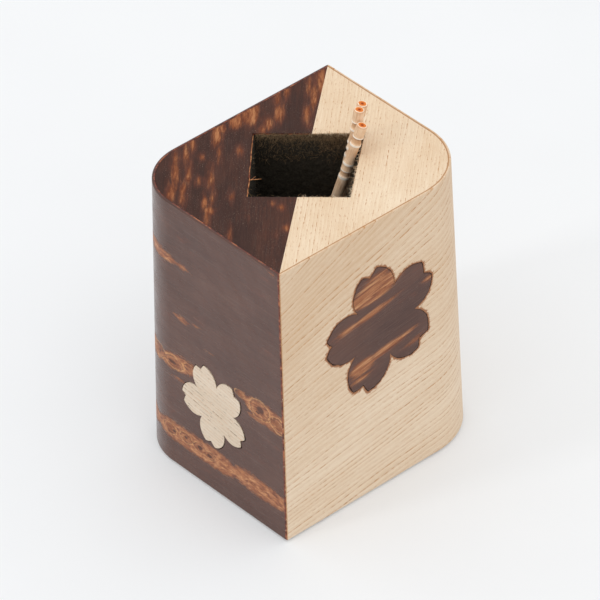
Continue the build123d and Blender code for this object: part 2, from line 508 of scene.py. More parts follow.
def pit_field(x, y, z):
    """Strongest of the small dark pits at a point."""
    p = bark_distance(x, y, z)
    return np.max([ellipse(p, z, *pit) for pit in BARK_PITS], axis=0)


def cherry_bark(name, tones, roughness, specular, cork_run=(0.5, 1.5), specks=0.12, shade=0.0, soft=0.0,
                scratched=0.16):
    """Cherry bark: a grained skin in three tones with fine scratches, and orange-brown lenticels whose
    ragged edges come from noise added to the piece's own band, eye and pit fields. Shade darkens the
    lenticels, soft blurs their edges, and specks and scratched are how much those show."""
    finish = Finish(name)
    grain = finish.read("grain", "Vector")
    band = finish.read("band")
    eye = finish.read("eye")
    pit = finish.read("pit")
    cut = finish.read("cut")
    point = finish.place()
    cloud = finish.streaks(grain, (0.05, 0.11), 4.0, 0.6)
    streak = finish.streaks(grain, (0.14, 2.4), 5.0, 0.65)
    fine = finish.streaks(grain, (1.6, 6.0), 3.0, 0.6)
    mottle = finish.plus(finish.times(cloud, 0.6), finish.times(streak, 0.4))
    skin = finish.colours(mottle, list(zip((0.34, 0.5, 0.68), tones)))
    skin = finish.tint(skin, finish.step(fine, 0.5, 0.75, 0.0, 0.35), tones[0])
    rust = finish.streaks(grain, (0.1, 0.35), 5.0, 0.7)
    skin = finish.tint(skin, finish.step(rust, 0.56, 0.74, 0.0, 0.45), (112, 62, 44))
    # Scratches from polishing, thin and pale, a few each way
    scratch = None
    for turn, scale in ((0.3, 0.5), (1.5, 0.42), (2.7, 0.6), (0.05, 0.8)):
        line = finish.streaks(grain, (scale * 0.12, scale * 9), 1.0, turn=turn)
        here = finish.step(line, 0.7, 0.73)
        scratch = here if scratch is None else finish.do("MAXIMUM", scratch, here)
    skin = finish.tint(skin, finish.times(scratch, scratched), (150, 124, 110))
    speck = finish.step(finish.noise(point, 4.6, 2.0, 0.7), 0.64, 0.7)
    dusty = finish.step(finish.noise(point, 0.16, 2.0), 0.4, 0.62, 0.25, 1.0)
    speck = finish.times(speck, dusty)
    skin = finish.tint(skin, finish.times(speck, specks), (176, 152, 134))
    # Lenticels
    ragged = finish.streaks(grain, (1.1 * cork_run[0], 1.07 * cork_run[1]), 6.0, 0.75)
    inside = finish.roughen(band, ragged, 3.0)
    mask = finish.step(inside, -0.2 - 0.3 * soft, 0.3 + soft)
    skin = finish.tint(skin, finish.step(inside, -1.1, 0.2, 0.0, 1.4 * soft), (118, 62, 42))
    cork = finish.streaks(grain, cork_run, 7.0, 0.75, 0.8)
    orange = finish.colours(finish.minus(cork, shade),
                            [(0.28, (68, 36, 26)), (0.39, (116, 64, 41)), (0.5, (160, 99, 62)),
                             (0.6, (192, 134, 90)), (0.72, (222, 178, 132))])
    rim = finish.times(finish.step(inside, -0.2, 0.1), finish.step(inside, 0.9, 0.2))
    orange = finish.tint(orange, finish.times(rim, 0.55), (98, 52, 36))
    colour = finish.blend(finish.times(mask, 0.95 - 0.2 * soft), skin, orange)
    # Eyes: a pale rim, a dark line inside it, mottled brown at the heart
    ragged_eye = finish.roughen(eye, ragged, 1.8)
    pale_rim = finish.times(finish.step(ragged_eye, -0.12, 0.04), finish.step(ragged_eye, 0.26, 0.08))
    dark_rim = finish.times(finish.step(ragged_eye, 0.1, 0.26), finish.step(ragged_eye, 0.5, 0.3))
    heart = finish.step(ragged_eye, 0.55, 0.95)
    colour = finish.tint(colour, finish.times(pale_rim, 0.6), (212, 158, 104))
    colour = finish.tint(colour, finish.times(dark_rim, 0.6), (92, 48, 30))
    colour = finish.tint(colour, finish.times(heart, 0.55), (120, 66, 36))
    ragged_pit = finish.roughen(pit, fine, 1.6)
    colour = finish.tint(colour, finish.step(ragged_pit, 0.0, 0.4, 0.0, 0.85), (72, 34, 22))
    torn = finish.roughen(cut, finish.noise(point, 1.3, 5.0, 0.7), 1.4)
    edge = finish.colours(finish.noise(point, 0.9, 4.0),
                          [(0.36, (66, 28, 20)), (0.52, (112, 50, 32)), (0.66, (168, 100, 62))])
    colour = finish.blend(finish.step(torn, 0.3, 0.7), colour, edge)
    rubbed = finish.step(finish.streaks(grain, (0.2, 0.5)), 0.3, 0.7, -0.05, 0.06)
    gloss = finish.plus(finish.step(mask, 0, 1, roughness, roughness + 0.22), rubbed)
    height = finish.plus(finish.times(mask, finish.times(cork, 0.9)), finish.times(streak, 0.18))
    height = finish.minus(height, finish.times(scratch, 0.12))
    height = finish.minus(height, finish.times(heart, 0.4))
    normal = finish.relief(height, 0.1)
    waver = finish.streaks(grain, (0.12, 0.12), 2.0)
    normal = finish.relief(waver, 0.25, normal)
    return finish.finish(colour, gloss, normal, Specular_IOR_Level=specular)


bark_end = wrap_length(HALF_Y, HALF_X, BARK_RADIUS)[2]
pale_scale = plan_scale(PALE_Z)
pale_p = PALE_Y / pale_scale + HALF_Y
square = (pale_p - PALE_SIDE, pale_p + PALE_SIDE, PALE_Z - PALE_SIDE, PALE_Z + PALE_SIDE)
past_bend = 52.5                     # a little beyond the rounded corner
bark_columns = lines((0, END_STRIP, 12), (END_STRIP, square[0], 12), (square[0], square[1], RING_STEPS),
                     (square[1], past_bend, 60), (past_bend, bark_end - END_STRIP, 70),
                     (bark_end - END_STRIP, bark_end, 12))
bark_z_lines = lines((FOOT + RIM_ROUND, square[2], 20), (square[2], square[3], RING_STEPS),
                     (square[3], HEIGHT - RIM_ROUND, 60))


def pale_outline(radius):
    """The pale blossom's outline as distance along the bark wrap and height. Seen from outside that
    distance runs to the left, so the outline is taken backwards."""
    shape = blossom(radius, PALE_TURN, MOUTH_POINTS)[::-1]
    return np.stack([pale_p - shape[:, 0] / pale_scale, PALE_Z + shape[:, 1]], -1)


def rim_inset(x, y, side, radius):
    """How far inside the top's outline a point is, whose one rounded corner is at +X -Y (side 1) or at
    -X +Y (side -1): from the corner's circle there, and from the straight sides elsewhere."""
    middle_x, middle_y = side * (HALF_X - radius), -side * (HALF_Y - radius)
    in_corner = (side * (x - middle_x) > 0) & (-side * (y - middle_y) > 0)
    straight = np.minimum(HALF_X - abs(x), HALF_Y - abs(y))
    return np.where(in_corner, radius - np.hypot(x - middle_x, y - middle_y), straight)


def cut_edge(x, y, z, p, side, radius, seam_width):
    """1 where the sheet's cut edge shows: along the inside of the rim, and down the front corner."""
    rim = np.clip((rim_inset(x, y, side, radius) - 0.24) / 0.2, 0, 1) * (z > HEIGHT - 0.05)
    return np.maximum(rim, np.clip((seam_width - p) / (0.6 * seam_width), 0, 1))


def bark_grain(x, y, z):
    """Bark grain lies level: along the wrap, and up."""
    return bark_distance(x, y, z), z


bark_wrap = new_piece("bark_side_sheet", *wrap_mesh(bark_skin, bark_columns, bark_z_lines, square,
                                                    pale_outline(PALE_RADIUS), POCKET_DEPTH),
                      cherry_bark("cherry_bark_side", ((72, 44, 35), (84, 54, 44), (98, 66, 54)), 0.24, 0.42,
                                  scratched=0.22))
sharpen(bark_wrap)
lay_grain(bark_wrap, bark_grain)
paint(bark_wrap, "band", band_field)
paint(bark_wrap, "eye", eye_field)
paint(bark_wrap, "pit", pit_field)
paint(bark_wrap, "cut", lambda x, y, z: cut_edge(x, y, z, bark_distance(x, y, z), -1, BARK_RADIUS, 0.6))
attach(bark_wrap, "block")
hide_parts("bark_side_wrap")


# --- The ash side wrap --------------------------------------------------------------------------
# Pale ash veneer round the other half, sanded and left almost bare. The log was cut askew, so its
# rings climb across the front and level out lower down. It has a pocket for the dark blossom.

DARK_RADIUS, DARK_TURN = 13.1, 12.0
DARK_X, DARK_Z = -0.9, 39.8
DARK_SIDE = 16.5
RISE, FAN, FAN_LENGTH, FAN_DEPTH = 0.11, 15.0, 34.0, 24.0


def ash_skin(p, inset, z):
    """Point on the ash wrap: p runs from the front corner along -Y, then round to the back corner."""
    inset = inset + seam_ease(p, wrap_length(HALF_X, HALF_Y, ASH_RADIUS)[2])
    x, y = wrap_plan(p, inset, HALF_X, HALF_Y, ASH_RADIUS)
    scale = plan_scale(z)
    return np.stack(np.broadcast_arrays(x * scale, y * scale, z), -1)


def ash_distance(x, y, z):
    """Distance along the ash wrap from the front corner, from a point on it."""
    scale = plan_scale(z)
    x, y = x / scale, y / scale
    bend_from, bend_to, _ = wrap_length(HALF_X, HALF_Y, ASH_RADIUS)
    angle = np.arctan2(x - (HALF_X - ASH_RADIUS), -(y + HALF_Y - ASH_RADIUS))
    bend = bend_from + ASH_RADIUS * np.clip(angle, 0, pi / 2)
    return np.where(x < HALF_X - ASH_RADIUS, x + HALF_X,
                    np.where(y > -(HALF_Y - ASH_RADIUS), bend_to + y + HALF_Y - ASH_RADIUS, bend))


def ash_grain(x, y, z):
    """Rings climb to the right, steeply at the top near the front corner: depth plus a gentle rise
    plus a fan that dies away along the wrap and down it."""
    p, depth = ash_distance(x, y, z), HEIGHT - z
    fall = np.exp(-depth / FAN_DEPTH)
    across = depth + RISE * p + FAN * (1 - np.exp(-p / FAN_LENGTH)) * fall
    along = p - RISE * depth + FAN * FAN_DEPTH / FAN_LENGTH * np.exp(-p / FAN_LENGTH) * fall
    return along, across


def ash_wood(name, spacing, pale, warm, ring_strength, pore_strength, pore_run=(0.4, 6.5),
             pore=(172, 122, 78), fade=0.0):
    """Ash: rings this far apart, some faint and some strong, each starting with a thin row of open pores
    and shading to smooth late wood, on the piece's own grain distances. Fade makes it warmer where the
    distance across the grain is small and paler where it is large."""
    finish = Finish(name)
    grain = finish.read("grain", "Vector")
    scorch_and_gap_shade = finish.read("scorch_and_gap_shade")
    cut = finish.read("cut")
    point = finish.place()
    split = finish.add("SeparateXYZ", Vector=grain)
    wander = finish.streaks(grain, (0.012, 0.1), 2.0)
    ripple = finish.streaks(grain, (0.16, 0.7), 2.0)
    drift = finish.plus(finish.times(wander, 4.0), finish.times(ripple, 0.2))
    ring = finish.plus(finish.do("DIVIDE", split.outputs["Y"], spacing), drift)
    phase = finish.do("FRACT", ring)
    number = finish.do("FLOOR", ring)
    far_along = finish.times(split.outputs["X"], 0.02)
    chance = finish.noise(finish.add("CombineXYZ", X=finish.times(number, 3.7), Y=far_along), 1.0, 1.0)
    strong = finish.step(chance, 0.35, 0.65, 0.15, 1.0)
    line = finish.times(finish.step(phase, 0.0, 0.05), finish.step(phase, 0.26, 0.08))
    broken = finish.streaks(grain, (1.2, 0.9), shift=(5, 2))
    dash = finish.step(broken, 0.4, 0.58, 0.35, 1.0)
    line = finish.times(finish.times(line, strong), dash)
    fibre = finish.streaks(grain, (0.14, 4.5), 5.0, 0.65)
    cloud = finish.streaks(grain, (0.03, 0.08), 3.0)
    mottle = finish.plus(finish.times(fibre, 0.5), finish.times(cloud, 0.5))
    tone = finish.plus(finish.times(finish.step(phase, 0.3, 1.0), 0.12 * ring_strength), mottle)
    tone = finish.plus(tone, finish.step(split.outputs["Y"], 8.0, 56.0, fade, -fade))
    colour = finish.colours(tone, [(0.36, pale), (0.82, warm)])
    colour = finish.tint(colour, finish.times(line, 0.95 * ring_strength), (196, 140, 86))
    thread = finish.streaks(grain, (0.3, 13.0), 2.0, 0.6, shift=(3, 7))
    colour = finish.tint(colour, finish.step(thread, 0.5, 0.72, 0.0, 0.4), (206, 164, 122))
    pores = finish.streaks(grain, pore_run, 3.0, 0.6)
    row = finish.step(finish.plus(pores, finish.times(line, 0.22)), 0.62, 0.74)
    colour = finish.tint(colour, finish.times(row, pore_strength), pore)
    dust = finish.step(finish.noise(point, 3.4, 2.0, 0.7), 0.58, 0.72, 0.0, 0.35)
    colour = finish.tint(colour, dust, (194, 142, 92))
    fleck = finish.streaks(grain, (0.45, 6.0), shift=(9, 4))
    colour = finish.tint(colour, finish.step(fleck, 0.56, 0.74, 0.0, 0.4), (240, 228, 208))
    # Orange, then near black, towards a cut edge. Beside the dark blossom in the ash this is real scorch. On
    # the pale blossom's side wall, sunk in its pocket, the same tints are painted shade in the gap round the
    # inlay.
    scorch_and_gap_shade_edge = finish.roughen(scorch_and_gap_shade, finish.noise(point, 1.4, 4.0, 0.7), 1.2)
    colour = finish.tint(colour, finish.step(scorch_and_gap_shade_edge, 0.28, 0.55, 0.0, 0.9), (150, 90, 46))
    colour = finish.tint(colour, finish.step(scorch_and_gap_shade_edge, 0.78, 0.95, 0.0, 0.95), (48, 28, 20))
    torn = finish.roughen(cut, finish.noise(point, 1.6, 4.0, 0.7), 0.9)
    colour = finish.tint(colour, finish.step(torn, 0.35, 0.8, 0.0, 0.8), (178, 124, 74))
    height = finish.minus(finish.times(fibre, 0.35), finish.times(row, 0.5))
    return finish.finish(colour, finish.step(fibre, 0.3, 0.7, 0.6, 0.5), finish.relief(height, 0.02),
                         Specular_IOR_Level=0.3)


def mouth_halo(points, outline, reach):
    """Scorch beside a cut edge: falls off with the distance to the nearest point of the outline."""
    near = np.full(len(points), 99.0)
    for start in range(0, len(outline), 40):
        gaps = points[:, None] - outline[None, start:start + 40]
        near = np.minimum(near, np.hypot(gaps[..., 0], gaps[..., 1]).min(1))
    return np.exp(-near / reach)


dark_scale = plan_scale(DARK_Z)
dark_p = DARK_X / dark_scale + HALF_X
ash_end = wrap_length(HALF_X, HALF_Y, ASH_RADIUS)[2]
square = (dark_p - DARK_SIDE, dark_p + DARK_SIDE, DARK_Z - DARK_SIDE, DARK_Z + DARK_SIDE)
past_bend = 62.0                     # a little beyond the rounded corner
ash_columns = lines((0, END_STRIP, 12), (END_STRIP, square[0], 14), (square[0], square[1], RING_STEPS),
                    (square[1], past_bend, 60), (past_bend, ash_end - END_STRIP, 50),
                    (ash_end - END_STRIP, ash_end, 12))
ash_z_lines = lines((FOOT + RIM_ROUND, square[2], 36), (square[2], square[3], RING_STEPS),
                    (square[3], HEIGHT - RIM_ROUND, 20))


def dark_outline(radius):
    """The dark blossom's outline as distance along the ash wrap and height, its edge a little chipped:
    four fine waves round it."""
    shape = blossom(radius, DARK_TURN, MOUTH_POINTS)
    turn = np.arctan2(shape[:, 1], shape[:, 0])
    chipped = 0.035 * sum(np.sin(wave * turn + wave ** 2) for wave in (17, 29, 43, 61))
    shape = shape * (1 + chipped / radius)[:, None]
    return np.stack([dark_p + shape[:, 0] / dark_scale, DARK_Z + shape[:, 1]], -1)


def dark_halo(x, y, z):
    """Scorch on the ash beside the dark blossom."""
    place = np.stack([ash_distance(x, y, z), z], -1)
    return mouth_halo(place, dark_outline(DARK_RADIUS), 0.5)


ash_wrap = new_piece("ash_side_veneer", *wrap_mesh(ash_skin, ash_columns, ash_z_lines, square,
                                                   dark_outline(DARK_RADIUS), POCKET_DEPTH),
                     ash_wood("ash_side", 1.22, (234, 214, 188), (207, 174, 137), 1.0, 0.7, fade=0.1))
sharpen(ash_wrap)
lay_grain(ash_wrap, ash_grain)
paint(ash_wrap, "scorch_and_gap_shade", dark_halo)
paint(ash_wrap, "cut", lambda x, y, z: cut_edge(x, y, z, ash_distance(x, y, z), 1, ASH_RADIUS, 0.45))
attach(ash_wrap, "block")
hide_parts("ash_side_wrap")


# --- The top sheets -----------------------------------------------------------------------------
# Each half is capped with its own sheet, bark or ash, laid inside the rim of the wrap and butted
# along the seam. The well is cut through both, and its edges are slightly rounded by sanding.

WELL = np.array([(-14.2, 0.7), (0.2, 15.4), (16.2, 0.2), (0.2, -13.3)])
TOP_EDGE_ROUND = 0.14
SEAM_ANGLE = np.arctan2(HALF_Y, HALF_X)


def hole_reach(angle):
    """Distance from the block's axis to the well's wall in this direction: the nearest of its four
    walls, each as its distance from the axis over the cosine to its normal."""
    following = np.roll(WELL, -1, axis=0)
    side = following - WELL
    normal = np.stack([-side[:, 1], side[:, 0]], -1) / np.hypot(*side.T)[:, None]
    away = np.sum(WELL * normal, -1)
    facing = np.cos(angle)[..., None] * normal[:, 0] + np.sin(angle)[..., None] * normal[:, 1]
    return np.where(facing > 1e-6, away / np.maximum(facing, 1e-6), np.inf).min(-1)


def rim_reach(angle, inset):
    """Distance from the block's axis to the top's outline in this direction: a rectangle, or the
    circle of a rounded corner where the ray meets that first."""
    cos, sin = np.cos(angle), np.sin(angle)
    half_x, half_y = HALF_X - inset, HALF_Y - inset
    reach = np.minimum(half_x / np.maximum(abs(cos), 1e-9), half_y / np.maximum(abs(sin), 1e-9))
    for side, radius in ((-1, BARK_RADIUS), (1, ASH_RADIUS)):
        middle_x, middle_y = side * (HALF_X - radius), -side * (HALF_Y - radius)
        beyond = (side * reach * cos > abs(middle_x)) & (-side * reach * sin > abs(middle_y))
        towards = cos * middle_x + sin * middle_y
        root = towards ** 2 - middle_x ** 2 - middle_y ** 2 + (radius - inset) ** 2
        reach = np.where(beyond, towards + np.sqrt(np.maximum(root, 0)), reach)
    return reach


def top_mesh(angles):
    """Half of the top as a closed section carried round from one end of the seam to the other: up the
    edge of the well, over a small round, out across the top, down inside the rim and back under."""
    turn = np.linspace(0, pi / 2, 5)
    out = lines((0, 0.05, 5), (0.05, 0.95, 56), (0.95, 1, 5))[1:-1]
    back = np.linspace(1, 0, 6)[1:-1]
    share = np.concatenate([[0], 0 * turn, out, 0 * turn + 1, [1], back])
    shift = np.concatenate([[0], TOP_EDGE_ROUND * (1 - np.cos(turn)), 0 * out,
                            -0.08 * np.cos(turn), [0], 0 * back])
    z = np.concatenate([[-SHEET], -TOP_EDGE_ROUND * (1 - np.sin(turn)), 0 * out,
                        -0.08 * (1 - np.cos(turn)), [-SHEET], -SHEET + 0 * back]) + HEIGHT
    near, far = hole_reach(angles), rim_reach(angles, SHEET)
    reach = near + (far - near) * share[:, None] + shift[:, None]
    x, y = reach * np.cos(angles), reach * np.sin(angles)
    seam_gap = abs(x * np.sin(SEAM_ANGLE) - y * np.cos(SEAM_ANGLE))
    up = (z > HEIGHT - TOP_EDGE_ROUND - 0.01)[:, None]
    z = z[:, None] - up * 0.05 * np.exp(-seam_gap / 0.1)
    points = np.stack(np.broadcast_arrays(x, y, z), -1)
    faces = quads(len(share), len(angles), around=True).reshape(-1, 4).tolist()
    return points.reshape(-1, 3), faces + end_caps(len(share), len(angles))


def seam_to_seam(start, corners):
    """Angles from one end of the seam to the other, through the well's corners, close set at the ends."""
    end = start + pi
    keys = [start + 0.03, *corners, end - 0.03]
    stretches = [(a, b, max(8, round((b - a) / 0.012))) for a, b in zip(keys, keys[1:])]
    fine = 0.03 * np.linspace(0, 1, 9)[:-1] ** 2
    return np.concatenate([start + fine, lines(*stretches), end - fine[::-1]])


corner_angles = np.arctan2(WELL[:, 1], WELL[:, 0])
TOP_GRAIN = radians(47)
# Streaks on the bark top: middle x and y, half length, half width
TOP_STREAKS = [
    (-24.4, 11.7, 3.0, 0.75), (-19.0, 16.6, 5.4, 0.55), (-22.1, 10.6, 2.9, 0.6), (-17.6, 14.2, 2.9, 0.4),
    (-15.6, 9.9, 2.8, 0.45), (-24.2, 1.2, 3.0, 0.5), (-22.6, 2.4, 1.1, 0.85), (-21.6, 4.8, 1.6, 0.5),
    (-16.4, 2.9, 1.0, 0.35), (-13.6, 19.6, 3.2, 0.5), (-10.4, 21.2, 2.2, 0.5), (-5.2, 19.9, 3.2, 0.85),
    (-3.4, 21.0, 1.6, 0.8), (0.6, 20.9, 2.4, 1.2), (3.9, 20.5, 3.2, 1.5), (6.2, 21.4, 2.0, 0.8),
    (8.6, 17.0, 2.7, 0.8), (11.4, 20.6, 2.0, 0.5), (12.3, 12.9, 2.5, 0.6), (2.4, 14.9, 1.2, 0.6),
    (4.6, 15.6, 1.7, 0.8), (16.8, 15.8, 3.4, 0.6), (22.2, 19.8, 4.2, 0.8), (18.6, 19.4, 2.6, 0.35),
    (-5.2, 13.1, 1.2, 0.55), (-17.7, 11.1, 0.9, 0.45), (-12.2, 16.5, 0.8, 0.4), (-12.1, -4.3, 0.6, 0.35),
    (-11.7, -6.6, 0.7, 0.5), (-15.4, -12.1, 0.8, 0.5), (-19.0, 5.4, 1.8, 0.3), (-8.6, 15.4, 1.8, 0.3),
    (-25.2, -6.6, 1.4, 0.25), (14.6, 21.4, 1.8, 0.4),
]


def turned(x, y, angle):
    """A point's distances along and across a direction."""
    return x * np.cos(angle) + y * np.sin(angle), -x * np.sin(angle) + y * np.cos(angle)


def streak_field(x, y, z):
    """How far inside the nearest streak: its half width times one less the distance from its middle."""
    field = np.full(x.shape, -9.0)
    for middle_x, middle_y, half_long, half_wide in TOP_STREAKS:
        along, across = turned(x - middle_x, y - middle_y, TOP_GRAIN)
        away = np.hypot(along / half_long, across / half_wide)
        field = np.maximum(field, half_wide * 1.5 * (1 - away / 1.2))
    return field


def top_bark_grain(x, y, z):
    """Bark top grain runs straight, turned a little further from +X than the seam."""
    return turned(x, y, TOP_GRAIN)


def top_ash_grain(x, y, z):
    """Almost parallel to the seam, with a slow bend."""
    along, across = turned(x, y, radians(43))
    return along, across + 0.25 * np.sin(along / 17)


bark_angles = seam_to_seam(SEAM_ANGLE, (corner_angles[1], corner_angles[0]))
bark_top = new_piece("bark_top_cap", *top_mesh(bark_angles),
                     cherry_bark("cherry_bark_top", ((50, 30, 24), (64, 39, 31), (90, 53, 39)), 0.55, 0.16,
                                 (0.2, 1.2), 0.9, 0.02, 0.22, 0.06))
sharpen(bark_top)
lay_grain(bark_top, top_bark_grain)
paint(bark_top, "band", streak_field)
for field in ("eye", "pit"):
    paint(bark_top, field, lambda x, y, z: -1 + 0 * x)
paint(bark_top, "cut", lambda x, y, z: np.clip((HEIGHT - 0.06 - z) / 0.05, 0, 1))
ash_angles = seam_to_seam(SEAM_ANGLE + pi, (corner_angles[3] + 2 * pi, corner_angles[2] + 2 * pi))
ash_top = new_piece("ash_top_cap", *top_mesh(ash_angles),
                    ash_wood("ash_top", 0.8, (242, 223, 195), (208, 172, 130), 0.4, 0.9, (0.9, 3.6),
                             (180, 120, 68)))
sharpen(ash_top)
lay_grain(ash_top, top_ash_grain)
paint(ash_top, "scorch_and_gap_shade", lambda x, y, z: 0 * x)
paint(ash_top, "cut", lambda x, y, z: np.clip((HEIGHT - 0.1 - z) / 0.1, 0, 1) * 0.6)
for cap, node, slot in ((bark_top, "bark_top_sheet", "cherry_bark"), (ash_top, "ash_top_sheet", "ash_wood")):
    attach(cap, "block")
    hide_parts(node)


# --- The blossoms -------------------------------------------------------------------------------
# Five-petalled blossoms stamped from sheet, one of pale wood in the bark and one of bark in the ash,
# pressed into their pockets and sanded level. A hairline gap runs round each.

INLAY_GAP = 0.1
INLAY_DEPTH = 0.44
PALE_GAP, PALE_SHIFT = 0.22, (0.13, -0.11)     # the pale one sits low and to the left in its pocket
PALE_PROUD, DARK_PROUD = 0.1, 0.03


def inlay_mesh(skin, outline, radius, proud):
    """Closed blossom: rings from its middle out to its eased edge, down its side and back under, each
    ring the outline drawn in towards the middle."""
    middle = outline.mean(0)
    edge = 1 - np.array([0.12, 0.05, 0.0]) / radius
    inner = np.linspace(0.02, 0.97, 26)
    share = np.concatenate([inner, edge, [1.0, 0.5, 0.02]])
    inset = np.concatenate([0 * inner - proud, [-proud, 0.035 - proud, 0.1 - proud], [INLAY_DEPTH] * 3])
    place = middle + (outline - middle) * share[:, None, None]
    points = skin(place[..., 0], inset[:, None], place[..., 1]).reshape(-1, 3)
    size = len(share), len(outline)
    return points, ring_faces(*size).tolist() + ring_ends(*size)


# Streaks on the dark blossom: middle across and up from its own middle, half length, half width
BLOSSOM_STREAKS = [
    (-1.6, 9.0, 7.4, 2.6), (-0.8, 12.0, 4.2, 0.8), (-2.6, 3.9, 6.6, 0.9), (-8.6, 3.2, 3.8, 0.8),
    (1.4, -6.4, 7.6, 1.0), (-5.6, -7.6, 3.8, 1.7), (-6.2, -10.2, 3.2, 0.7), (12.4, 4.6, 1.6, 0.7),
    (8.6, -8.4, 2.6, 0.5),
]


def blossom_streaks(x, y, z):
    """Streak field of the dark blossom, rising slightly to the right."""
    field = np.full(x.shape, -9.0)
    for middle_x, middle_z, half_long, half_wide in BLOSSOM_STREAKS:
        along, across = turned(x - DARK_X - middle_x, z - DARK_Z - middle_z, radians(8))
        away = np.hypot(along / half_long, across / half_wide)
        field = np.maximum(field, half_wide * 1.4 * (1 - away))
    return field


pale_shape = pale_outline(PALE_RADIUS - PALE_GAP) + PALE_SHIFT
pale_blossom = new_piece("pale_blossom_inlay", *inlay_mesh(bark_skin, pale_shape, PALE_RADIUS, PALE_PROUD),
                         ash_wood("pale_blossom_wood", 0.85, (224, 210, 192), (186, 166, 140), 0.75, 1.0,
                                  (0.5, 4.0), (104, 84, 62)))
sharpen(pale_blossom)
lay_grain(pale_blossom, lambda x, y, z: turned(-y, z, radians(-7)))
# The pale blossom's side wall below the bark's face is painted orange then dark: painted shade in the gap
# round the inlay.
paint(pale_blossom, "scorch_and_gap_shade", lambda x, y, z: np.clip((x / plan_scale(z) + HALF_X) / 0.1, 0, 1))
paint(pale_blossom, "cut", lambda x, y, z: 0 * x)
dark_shape = dark_outline(DARK_RADIUS - INLAY_GAP)
dark_blossom = new_piece("dark_blossom_inlay", *inlay_mesh(ash_skin, dark_shape, DARK_RADIUS, DARK_PROUD),
                         cherry_bark("dark_blossom_bark", ((72, 44, 36), (88, 57, 46), (104, 68, 54)),
                                     0.36, 0.36, (0.1, 1.5), 0.3, -0.02, 0.12))
sharpen(dark_blossom)
lay_grain(dark_blossom, lambda x, y, z: turned(x + 40, z, radians(8)))
paint(dark_blossom, "band", blossom_streaks)
for field in ("eye", "pit", "cut"):
    paint(dark_blossom, field, lambda x, y, z: -1 + 0 * x)
for inlay, node, slot in ((pale_blossom, "pale_blossom", "ash_wood"),
                          (dark_blossom, "dark_blossom", "cherry_bark")):
    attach(inlay, "block")
    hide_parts(node)


# --- The felt lining ----------------------------------------------------------------------------
# Strips of thin black wool felt glued to the well's four walls, and a square on its floor. The nap
# stands up as loose fibres, and the top edges are cut by hand, a little uneven.

FELT = 0.4
WELL_FLOOR = 9.9
FELT_TOP = HEIGHT - 0.2
rng = np.random.default_rng(7)


def ripples(u, v, size, count, seed):
    """Soft unevenness from 0 to 1: the mean of waves of about one size in random directions."""
    draw = np.random.default_rng(seed)
    angle, phase, pitch = draw.uniform(0, 2 * pi, (3, count))
    pitch = 2 * pi / size * (0.6 + 0.8 * pitch / (2 * pi))
    total = sum(np.sin(f * (u * np.cos(a) + v * np.sin(a)) + s) for a, s, f in zip(angle, phase, pitch))
    return np.clip(0.5 + 0.5 * total / np.sqrt(count), 0, 1)


def wool_felt(name, dark, light):
    """Wool felt: matted short fibres, from fine noise in two sizes, matt with a little sheen."""
    finish = Finish(name)
    point = finish.place()
    mat = finish.noise(point, 2.2, 5.0, 0.7)
    hair = finish.noise(finish.stretch(point, (2.0, 2.0, 7.0), turn=(0.6, 0.4, 0.2)), 1.0, 4.0, 0.6, 1.2)
    tone = finish.plus(finish.times(mat, 0.55), finish.times(hair, 0.45))
    colour = finish.colours(tone, [(0.35, dark), (0.7, light)])
    return finish.finish(colour, 1.0, finish.relief(tone, 0.25), Specular_IOR_Level=0.02,
                         Sheen_Weight=0.03, Sheen_Roughness=0.5)


black_felt = wool_felt("black_felt", (30, 27, 22), (76, 70, 60))
felt_inner = WELL.copy()
for index in range(4):
    before, corner, after = WELL[index - 1], WELL[index], WELL[(index + 1) % 4]
    arriving = (corner - before) / np.hypot(*(corner - before))
    leaving = (after - corner) / np.hypot(*(after - corner))
    half = np.arccos(np.dot(-arriving, leaving)) / 2
    inward = (leaving - arriving) / np.hypot(*(leaving - arriving))
    felt_inner[index] = corner + inward * FELT / np.sin(half)


def felt_strip(outer, inner, seed):
    """A strip on one wall: its section, up the napped face, over the cut edge and down the back, is
    carried along the wall. The face stands in and out by two sizes of ripple."""
    along = np.linspace(0, 1, 90)[None, :, None]
    tall = lines((WELL_FLOOR - FELT, 40, 60), (40, FELT_TOP, 110))
    face = inner[0] + (inner[1] - inner[0]) * along
    back = outer[0] + (outer[1] - outer[0]) * along
    length = np.hypot(*(outer[1] - outer[0]))
    u, v = along[..., 0] * length, tall[:, None]
    nap = 0.16 * ripples(u, v, 1.6, 14, seed) + 0.1 * ripples(u, v, 0.6, 14, seed + 1)
    share = np.clip(nap / FELT, 0, 0.6)[..., None]
    front = face + (back - face) * share
    ragged = 0.22 * ripples(u, 0 * u, 1.1, 12, seed + 2) * np.clip((v - 60) / (FELT_TOP - 60), 0, 1)
    rise = np.broadcast_to(v, front.shape[:2]) - ragged
    rows = [np.concatenate([front, rise[..., None]], -1)]
    for share, drop in ((0.55, -0.02), (0.8, 0.05), (1.0, 0.2)):
        top = front[-1:] + (back - front[-1:]) * share
        rows.append(np.concatenate([top, rise[-1:, :, None] - drop], -1))
    low = np.linspace(FELT_TOP - 6, WELL_FLOOR - FELT, 8)[:, None, None]
    behind = np.broadcast_to(back, (8, *back.shape[1:]))
    rows.append(np.concatenate([behind, np.broadcast_to(low, behind.shape[:2] + (1,))], -1))
    grid = np.concatenate(rows)
    faces = quads(*grid.shape[:2], around=True).reshape(-1, 4).tolist()
    return grid.reshape(-1, 3), faces + end_caps(*grid.shape[:2])


for index, wall in enumerate(("left", "back", "right", "front")):
    pair = [index, (index + 1) % 4]
    strip = new_piece(f"felt_{wall}", *felt_strip(WELL[pair], felt_inner[pair], 10 * index), black_felt)
    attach(strip, "block")
    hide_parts(f"well_felt_{wall}")


